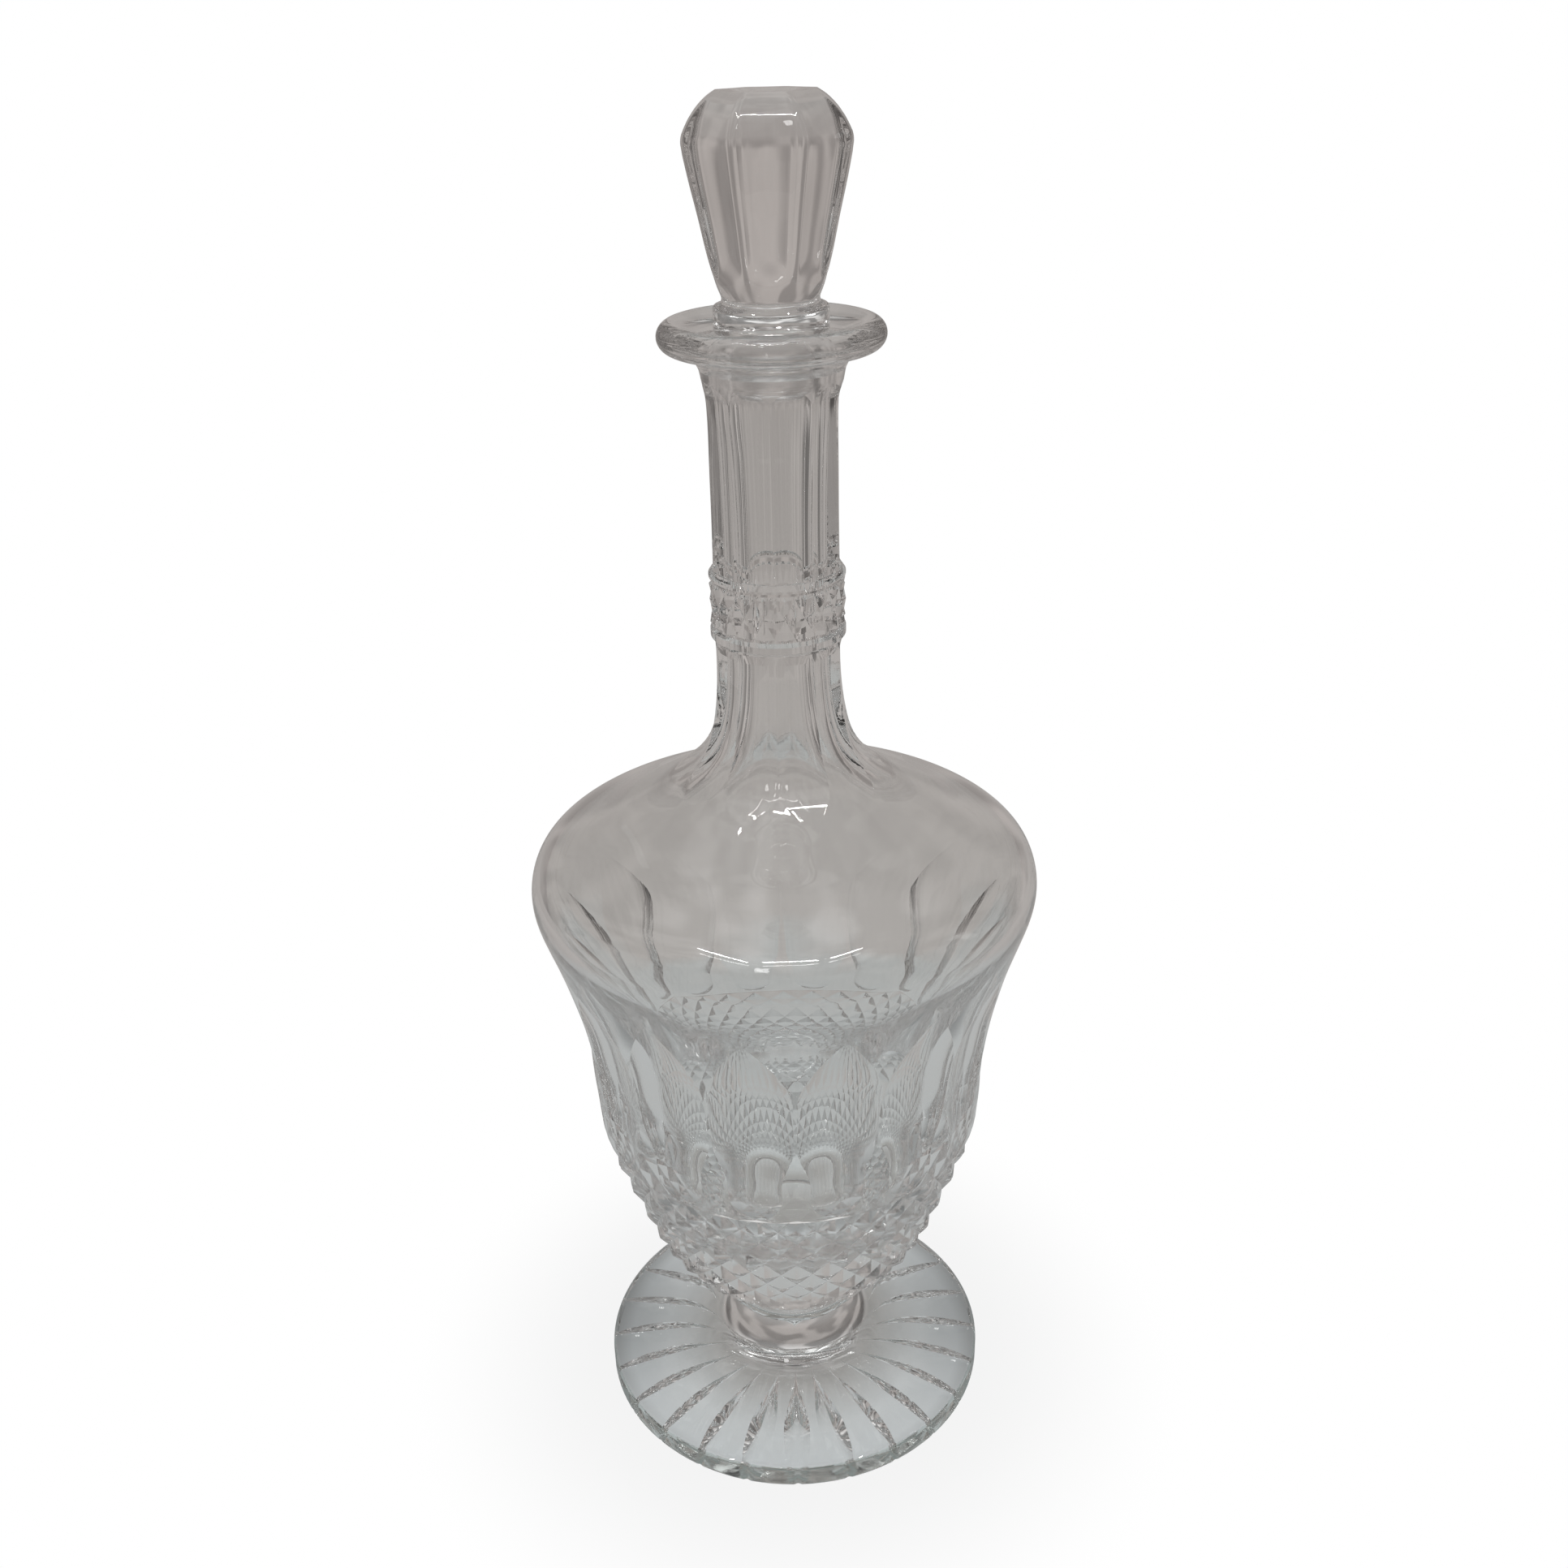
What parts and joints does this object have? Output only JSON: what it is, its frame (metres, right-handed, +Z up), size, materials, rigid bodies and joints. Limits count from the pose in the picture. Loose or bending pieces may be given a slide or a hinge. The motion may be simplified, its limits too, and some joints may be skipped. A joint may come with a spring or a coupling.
{
  "type": "stoppered decanter",
  "caption": "Clear cut-glass decanter on a star-cut foot, with a fluted and diamond-cut bowl, a panelled neck with a raised ring, a flared lip and a faceted lift-out stopper.",
  "frame": {"origin": "centre of the foot's resting face, on the decanter's axis", "axes": "+Z up along the decanter's axis, from the foot to the stopper; -Y is the front"},
  "size_m": [0.132, 0.132, 0.3544],
  "materials": {
    "foot_glass": "polished",
    "body_glass": "polished",
    "stopper_glass": "polished"
  },
  "bodies": {
    "decanter": {"foot": "foot_glass", "bowl_and_neck": "body_glass"},
    "stopper": {"stopper": "stopper_glass"}
  },
  "joints": [
    {"name": "stopper_lift", "type": "slide", "parent": "decanter", "child": "stopper", "axis": [0, 0, 1], "range_m": [0, 0.06]}
  ]
}
